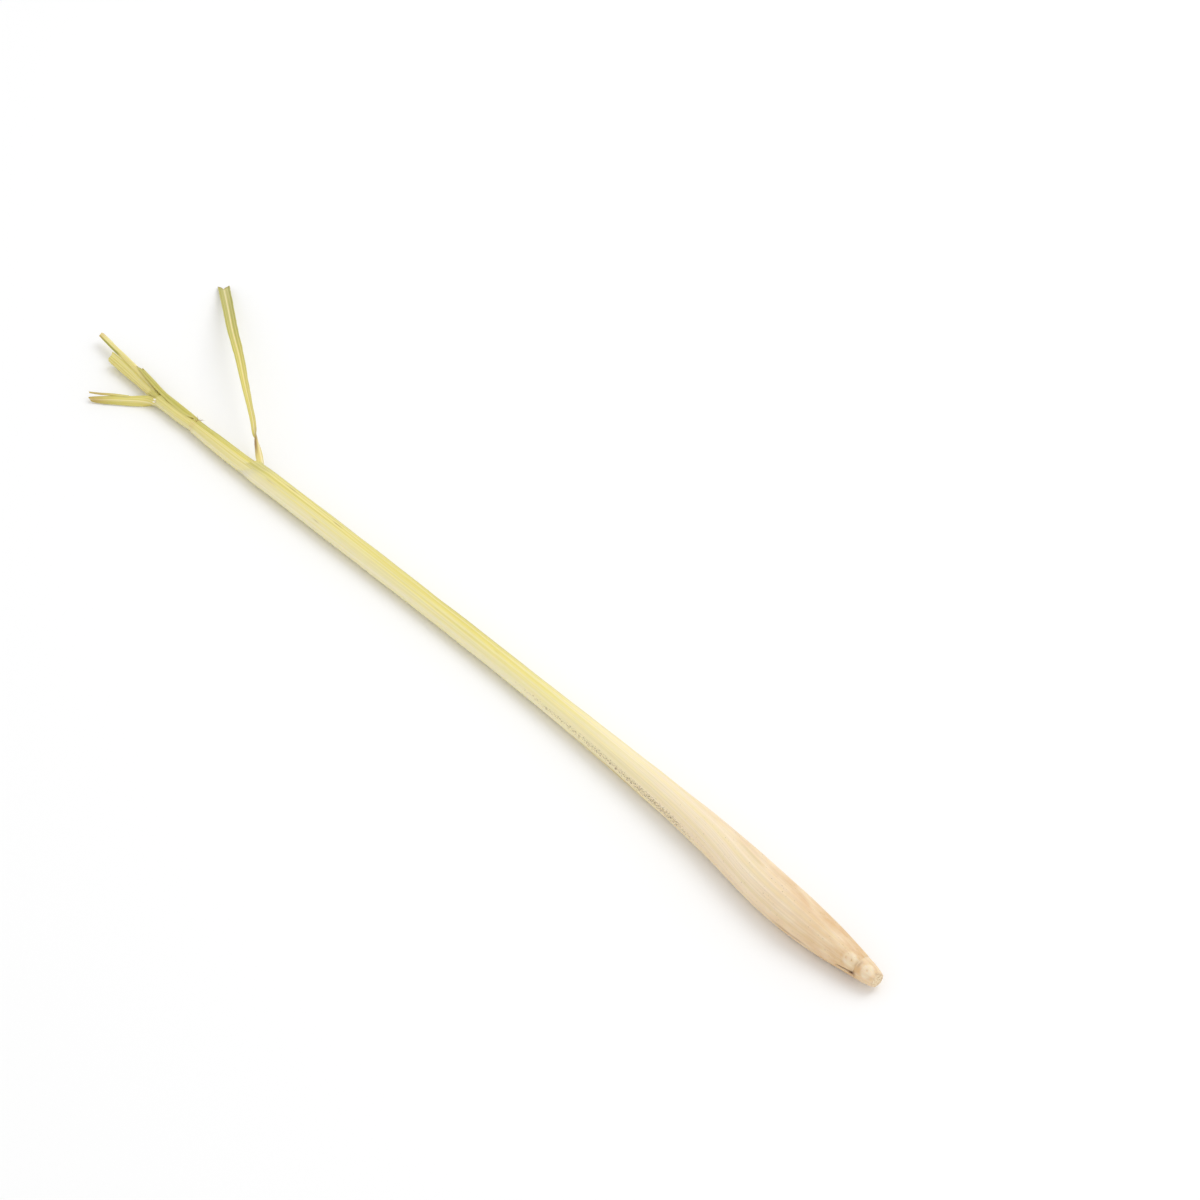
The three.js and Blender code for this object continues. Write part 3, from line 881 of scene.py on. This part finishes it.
second = Piece()
second_rows = sheath_rows(SECOND_LEAF, fine_stations((16, 290, 14), (290, 335, 1.6), (335, 344.6, 0.8)))
second_rows += blade_rows(SECOND_LEAF, SECOND_BLADE, fine_stations((350.4, 380, 1.2), (380, 385.5, 0.5)))
second.add_sheet(second_rows)
for hair in range(HAIR_COUNT):
    f = hair / (HAIR_COUNT - 1)
    chance = uneven(1.7 * hair, 0.4, 2.2)
    degrees = HAIR_FIRST + HAIR_FAN * f
    root = round_stalk(347.4 + 1.4 * f, degrees, HAIR_SKIN - 0.35)
    reach = 348.6 + 1.8 * abs(chance) - 2.4 * f
    tip = round_stalk(reach, degrees + 12 * chance, HAIR_SKIN + 0.5 + 1.1 * abs(chance))
    second.add_tube(hair_rows(root, tip, HAIR_THICKNESS, HAIR_SAG, hair))
second.build("second_leaf_sheet", "second_leaf", [SECOND_SKIN])

# %% [markdown]
# ## Third leaf
# It shows between the second collar and the third. Its keel is low on the left, so its blade bends off
# to that side with its outer face up. The blade has a dried tip, and a sliver split from its edge.

# %% Third leaf
THIRD_GREENING = [[24, 0.1], [300, 0.55], [345, 0.7], [372, 0.74]]


def third_paint(place, across):
    lines = uneven(across / 9, place / 90, 6.2)
    olive = 0.55 * smooth_step(lines, 0.05, 0.4) + 0.5 * hump(across, 160, 26)
    bloom = 0.6 * hump(across, 25, 30)
    return (straight_line(THIRD_GREENING, place), 0, olive), (0.22, bloom, 0)


def third_blade_paint(station, u):
    dried = smooth_step(station, 380, 387.5)
    midrib = hump(u, 0, 0.14)
    green = 0.7 + 0.1 * smooth_step(station, 372, 386) + 0.06 * abs(u) - 0.08 * midrib
    olive = 0.3 * smooth_step(abs(u), 0.7, 1)
    return (green, 0.4 * dried, olive), (0.25, 0.4 * midrib, 0.22 * dried * dried)


THIRD_LEAF = {
    "layer": 2, "root": 24, "mouth": 364, "slant": 3, "columns": 92, "seed": 3.0,
    "keel": [[24, -5], [372, -25]],
    "under": [[24, 180], [364, 180]],
    "over": [[24, 186], [364, 180]],
    "ragged_root": 0, "relief": lambda place, _, degrees: undulation(place, degrees, 8.0, 0.1),
    "paint": third_paint, "paint_blade": third_blade_paint,
    "opening": [[0, 178], [0.9, 150], [1.8, 129], [2.7, 108], [3.6, 87], [4.4, 66]],
    "mouth_thinning": 0.5, "collar_half": 66, "midrib_groove": 0.08, "midrib_ridge": 0.1,
    "cut": lambda u: 0.6 * u + 0.5 * uneven(7 * u, 0, 5),
}
THIRD_BLADE = [
    collar_row(THIRD_LEAF, 369, 66),
    [371.4, 4.4, 2.4, 5, 2.3, 1.1, 2],
    [374.3, 6.5, 2.45, 25, 2.05, 0.75, 1.9],
    [377.1, 8.8, 2.25, 34, 1.85, 0.6, 1.8],
    [382.5, 13.8, 2.0, 36, 1.55, 0.5, 1.7],
    [386.5, 17.5, 1.7, 36, 1.15, 0.4, 1.7],
    [388.5, 19.3, 1.6, 36, 0.75, 0.3, 1.7],
]
THIRD_SLIVER = [
    [378.4, 8.3, 3.1, 34, 0.45, 0.1, 2],
    [383, 12.1, 3.25, 34, 0.45, 0.1, 2],
    [386.4, 15.2, 3.2, 34, 0.4, 0.1, 2],
    [389.9, 17.7, 3.1, 34, 0.3, 0.1, 2],
]
print("the third blade has", len(THIRD_BLADE), "rows, and its sliver", len(THIRD_SLIVER))

# %% [markdown]
# ### Ligule
# A grass leaf has a membrane where its sheath meets its blade. Two scraps of it stand at the third collar.
# It could be two patches, but one arc, sunk out of sight between them, keeps them in line.

# %% Ligule, and the third leaf put together
LIGULE_COLLAR = 369
LIGULE_ROOT = 368.6
LIGULE_STEPS = 44
LIGULE_TURN = 48
LIGULE_HALF = 44
LIGULE_HEIGHT = 0.75
LIGULE_THICKNESS = 0.12
LIGULE_SINK = 0.45
LIGULE_LIFT = 0.5
LIGULE_LEAN = 0.5


def ligule_rows():
    rows = []
    for f in across_steps(LIGULE_STEPS):
        degrees = keel_angle(THIRD_LEAF, LIGULE_COLLAR) + LIGULE_HALF * f + LIGULE_TURN
        scraps = min(1.5 * (hump(f, -0.22, 0.12) + hump(f, 0.24, 0.11)), 1)
        height = 0.05 + LIGULE_HEIGHT * scraps
        radius = layer_radius(THIRD_LEAF["layer"], LIGULE_COLLAR) - LIGULE_SINK + LIGULE_LIFT * scraps
        row = []
        for rise in (0, 0.5, 1):
            station = LIGULE_ROOT + rise * height
            middle = radius + LIGULE_LEAN * rise * height
            outer = round_stalk(station, degrees, middle + LIGULE_THICKNESS / 2)
            inner = round_stalk(station, degrees, middle - LIGULE_THICKNESS / 2)
            row.append(two_faced(outer, inner, (station, f, 0), ((0, 0, 0), (0, 0, 0))))
        rows.append(row)
    return rows


third = Piece()
third_rows = sheath_rows(THIRD_LEAF, fine_stations((24, 330, 17), (330, 356, 1.4), (356, 364, 0.8)))
third_rows += blade_rows(THIRD_LEAF, THIRD_BLADE, fine_stations((369.8, 376, 0.5), (376, 388, 0.6)))
third.add_sheet(third_rows)
SLIVER_LEAF = dict(THIRD_LEAF, columns=8, cut=lambda u: 0.2 * u, midrib_groove=0, midrib_ridge=0)
third.add_sheet(blade_rows(SLIVER_LEAF, THIRD_SLIVER, fine_stations((378.4, 389.9, 0.8))))
third.add_sheet(ligule_rows(), 1)
third.build("third_leaf_sheet", "third_leaf", [THIRD_SKIN, LIGULE])

# %% [markdown]
# ## Fourth leaf
# Its broad green blade lies along the left of the bundle, half rolled round the heart leaf. The end was
# cut nearly square, and has dried brown at one corner. Its hidden sheath is rolled full circle all the
# way, so it needs no margin lines, and its mouth opens in a few steps of its own.

# %% Fourth leaf
def fourth_paint(place, across):
    return (0.3 + 0.5 * smooth_step(place, 250, 372), 0, 0.2), (0.2, 0, 0)


def fourth_blade_paint(station, u):
    green = 0.67 + 0.07 * smooth_step(station, 374, 400)
    dried_cut = hump(station, 401.5, 0.8)
    olive = 0.3 * smooth_step(abs(u), 0.8, 1)
    return (green, 0.25 * dried_cut, olive), (0.35, 0.1, 0.6 * dried_cut * smooth_step(u, 0.2, 0.9))


FOURTH_LEAF = {
    "layer": 3, "root": 32, "mouth": 369, "slant": 0, "columns": 80, "seed": 4.0,
    "keel": [[32, 185], [200, 100], [374, -10]],
    "ragged_root": 0, "relief": lambda place, _, degrees: undulation(place, degrees, 11.0, 0.06),
    "paint": fourth_paint, "paint_blade": fourth_blade_paint,
    "mouth_thinning": 0.3, "collar_half": 80, "midrib_groove": 0.05, "midrib_ridge": 0.1,
    "cut": lambda u: 0.9 * u + 0.5 * math.sin(7 * u) + 0.3 * uneven(12 * u, 0, 2),
}
FOURTH_BLADE = [
    alongside_row(374, -10, 2.15, 2.2, 1.9, 2),
    alongside_row(380, -12, 2.6, 2.6, 1.9, 2),
    alongside_row(392, 0, 4.0, 2.85, 2.2, 2),
    alongside_row(399.5, 3, 4.45, 2.75, 2.35, 2),
    alongside_row(402.5, 2, 4.6, 2.4, 2.2, 2),
]
FOURTH_MARGINS = [180, 182]
FOURTH_OPENING = ((1, 150), (1.6, 137), (2.2, 124), (2.8, 112), (3.4, 100), (4, 90), (4.6, 80))
fourth = Piece()
fourth_rows = []
for station in fine_stations((32, 340, 22), (340, 369, 2.4)):
    fourth_rows.append(sheath_row(FOURTH_LEAF, station, FOURTH_MARGINS))
for past, half in FOURTH_OPENING:
    fourth_rows.append(sheath_row(FOURTH_LEAF, FOURTH_LEAF["mouth"] + past, [half, half]))
fourth_rows += blade_rows(FOURTH_LEAF, FOURTH_BLADE, fine_stations((375, 396, 1.0), (396, 400.2, 0.5)))
fourth.add_sheet(fourth_rows)
fourth.build("fourth_leaf_sheet", "fourth_leaf", [FOURTH_SKIN])

# %% [markdown]
# ## Heart leaf
# The youngest leaf is rolled so tight that its sheath is a rod. Its blade comes out of the middle of the
# bundle, is folded sharply along its keel, and reaches furthest. Near the tip one half of it is painted
# dark green, as painted shade inside the fold.

# %% Heart leaf
HEART_SIDES = 36


def heart_blade_paint(station, u):
    # Painted shade: dark green on one half of the blade near the tip, for the shaded inside of the fold.
    green = 0.64 + 0.36 * smooth_step(-u, 0.5, 0.75) * smooth_step(station, 396, 401)
    dried = smooth_step(station, 409, 414.5)
    olive = 0.25 * smooth_step(abs(u), 0.8, 1)
    return (green, 0.6 * dried, olive), (0.22, 0.35 * hump(u, 0.1, 0.3), 0.05 * dried)


def rod_point(station, degrees):
    radius = layer_radius(HEART_LEAF["layer"], station)
    return round_stalk(station, degrees, radius), (station, degrees, 0), (0.5, 0, 0), (0.1, 0, 0)


HEART_LEAF = {
    "layer": 4, "columns": 40, "seed": 5.0, "collar_half": 60, "midrib_groove": 0.0, "midrib_ridge": 0.06,
    "paint_blade": heart_blade_paint, "cut": lambda u: 0.5 * u + 0.2 * uneven(9 * u, 0, 8),
}
HEART_BLADE = [
    alongside_row(364, 100, 0.9, 0.8, 0.4, 2),
    alongside_row(372, 120, 1.6, 1.3, 0.8, 2),
    alongside_row(375, 119, 2.2, 1.6, 1.1, 1.8),
    alongside_row(379, 117, 2.45, 1.7, 1.4, 1.7),
    alongside_row(386, 114, 2.6, 1.7, 1.7, 1.6),
    alongside_row(396, 112, 2.6, 1.6, 1.5, 1.5),
    [405, -4.1, 5.2, 107, 1.5, 1.2, 1.4],
    [414.8, -4.8, 5.0, 102, 1.3, 0.8, 1.4],
]
heart = Piece()
heart_rod = []
for station in fine_stations((42, 342, 25), (342, 372, 3)):
    heart_rod.append([rod_point(station, 360 * i / HEART_SIDES) for i in range(HEART_SIDES)])
heart.add_tube(heart_rod)
heart.add_sheet(blade_rows(HEART_LEAF, HEART_BLADE, fine_stations((364.5, 410, 1.0), (410, 414, 0.5))))
heart.build("heart_leaf_sheet", "heart_leaf", [HEART_SKIN])

# %% [markdown]
# ## Stem base
# All the leaves grow from this short stem. Its neck shows below the outer leaf, with a pale root bud on
# it, and it ends in a rough cut: the rim is chipped on its upper side, and the fibres stand out unevenly.
# A bump could fake them, but the face is rings pushed in and out by noise, so the roughness is real.

# %% Stem base
# The stem's rows are [station, radius], and the first one is the cut.
STEM_LINE = [
    [-2, 2.35], [-1.2, 2.7], [0.6, 3.2], [2.8, 3.6], [4.5, 3.82], [5.4, 3.4], [6.2, 2.85], [16, 2.85],
    [24, 2.75], [32, 2.2], [38, 1.4], [40.8, 0.5],
]
STEM_SIDES = 96
CUT_STATION = STEM_LINE[0][0]
CUT_RINGS = 14
RIM_CHIP = 0.8
CUT_LIP = 0.3
FIBRE_HEIGHT = 0.55


def stem_point(station, degrees):
    radius = straight_line(STEM_LINE, station)
    bud = bud_rise(NECK_BUD, station, degrees)
    angle = math.radians(degrees)
    ripple = uneven(station / 1.6, 2.2 * math.cos(angle), 2.2 * math.sin(angle))
    chip = RIM_CHIP * hump(turned(degrees - 92), 0, 24) + 0.16 * uneven(0, degrees / 22, 7)
    place = station + chip * fade(station, CUT_STATION, 0.6)
    return place, radius + bud + 0.09 * ripple * fade(station, 2, 3.6)


def stem_row(station):
    row = []
    for i in range(STEM_SIDES):
        degrees = 360 * i / STEM_SIDES
        place, radius = stem_point(station, degrees)
        bloom, tan_bud = bud_paint(NECK_BUD, place, degrees)
        tan = 0.48 + 0.42 * hump(turned(degrees - 10), 0, 40) * smooth_step(place, 1, 4) + tan_bud
        broken = 0.3 + abs(uneven(degrees / 14, 2, 2))
        dried = 0.3 * fade(station, CUT_STATION, CUT_STATION + 0.5) * broken
        dried += 0.9 * hump(place, NOTCH[0], 0.8) * hump(turned(degrees - NOTCH[1]), 0, 15)
        dried += 0.4 * hump(place, 3.9, 0.4) * hump(turned(degrees - 62), 0, 18)
        where = round_stalk(place, degrees, radius)
        row.append((where, (place, degrees, 0), (0, min(tan, 1), 0), (0.3, bloom, dried)))
    return row


def cut_row(ring):
    f = 1 - ring / CUT_RINGS
    row = []
    for i in range(STEM_SIDES):
        degrees = 360 * i / STEM_SIDES
        angle = math.radians(degrees)
        place, radius = stem_point(CUT_STATION, degrees)
        fibre = uneven(3.4 * f * math.cos(angle), 3.4 * f * math.sin(angle), 5)
        lip = CUT_LIP * (1 - f) + FIBRE_HEIGHT * fibre * smooth_step(1 - f, 0.0, 0.15)
        station = CUT_STATION + (place - CUT_STATION) * f ** 2 + lip
        where = round_stalk(station, degrees, max(radius * f, 0.02))
        row.append((where, (station, degrees, 0), (0, 0, 0), (0, 0, 0.3 * hump(f, 0.95, 0.06))))
    return row


stem = Piece()
STEM_STATIONS = fine_stations((CUT_STATION, 6.2, 0.2), (6.2, 16, 2), (16, 40.8, 3))
cut_rows = [cut_row(ring) for ring in range(CUT_RINGS, 0, -1)]
stem.add_tube(cut_rows + [stem_row(station) for station in STEM_STATIONS])
# The tube's first faces are the cut's.
CUT_FACES = CUT_RINGS * STEM_SIDES
stem.slots[:CUT_FACES] = [1] * CUT_FACES
stem.build("stem_base_body", "stem_base", [STEM_SKIN, CUT_FIBRE])

# %% [markdown]
# ## Table, light and camera
# The table is plain and pale. A large soft light comes from the right and above, so the shadow falls
# close in on the left, and the white surroundings fill it. The camera looks down at the stalk from past
# its base, on its left side, with a long lens.

# %% Table
FLOOR_HALF = 4.0
FLOOR_SIGNS = ((-1, -1), (1, -1), (1, 1), (-1, 1))
floor_mesh = bpy.data.meshes.new("table")
floor_mesh.from_pydata([(x * FLOOR_HALF, y * FLOOR_HALF, 0) for x, y in FLOOR_SIGNS], [], [(0, 1, 2, 3)])
floor = bpy.data.objects.new("table", floor_mesh)
bpy.context.collection.objects.link(floor)
laminate, _, table_shader = new_material("matt white table laminate")
wire(table_shader, {"Base Color": "#F6F6F6", "Roughness": 0.9, "Specular IOR Level": 0.2})
floor_mesh.materials.append(laminate)
print("table is", 2 * FLOOR_HALF, "m wide")

# %% Light
SURROUNDINGS = 0.89
LAMP_AT = (-0.25, -0.8, 1.5)
LAMP_SIZE = 1.3
LAMP_WATTS = 8.4
STALK_MIDDLE = (0, 0.02, 0)


def aimed(thing, place, aim):
    thing.location = place
    thing.rotation_euler = (Vector(aim) - Vector(place)).to_track_quat("-Z", "Y").to_euler()
    bpy.context.collection.objects.link(thing)


bpy.context.scene.view_settings.view_transform = "Standard"
world = bpy.data.worlds.new("white studio")
world.use_nodes = True
wire(world.node_tree.nodes["Background"], {"Color": "#FFFFFF", "Strength": SURROUNDINGS})
bpy.context.scene.world = world
window_light = bpy.data.lights.new("window light", "AREA")
window_light.shape = "DISK"
window_light.size = LAMP_SIZE
window_light.energy = LAMP_WATTS
aimed(bpy.data.objects.new("window light", window_light), LAMP_AT, STALK_MIDDLE)
print("light from the right,", LAMP_SIZE, "m across")

# %% Camera
CAMERA_AT = (-0.670259, 0.532445, 0.774184)
CAMERA_AIM = (-0.020509, -0.030682, 0)
CAMERA_VIEW = math.radians(20)
camera_data = bpy.data.cameras.new("camera")
camera_data.angle = CAMERA_VIEW
camera = bpy.data.objects.new("camera", camera_data)
aimed(camera, CAMERA_AT, CAMERA_AIM)
bpy.context.scene.camera = camera
print("camera is", round((Vector(CAMERA_AIM) - Vector(CAMERA_AT)).length, 3), "m away")
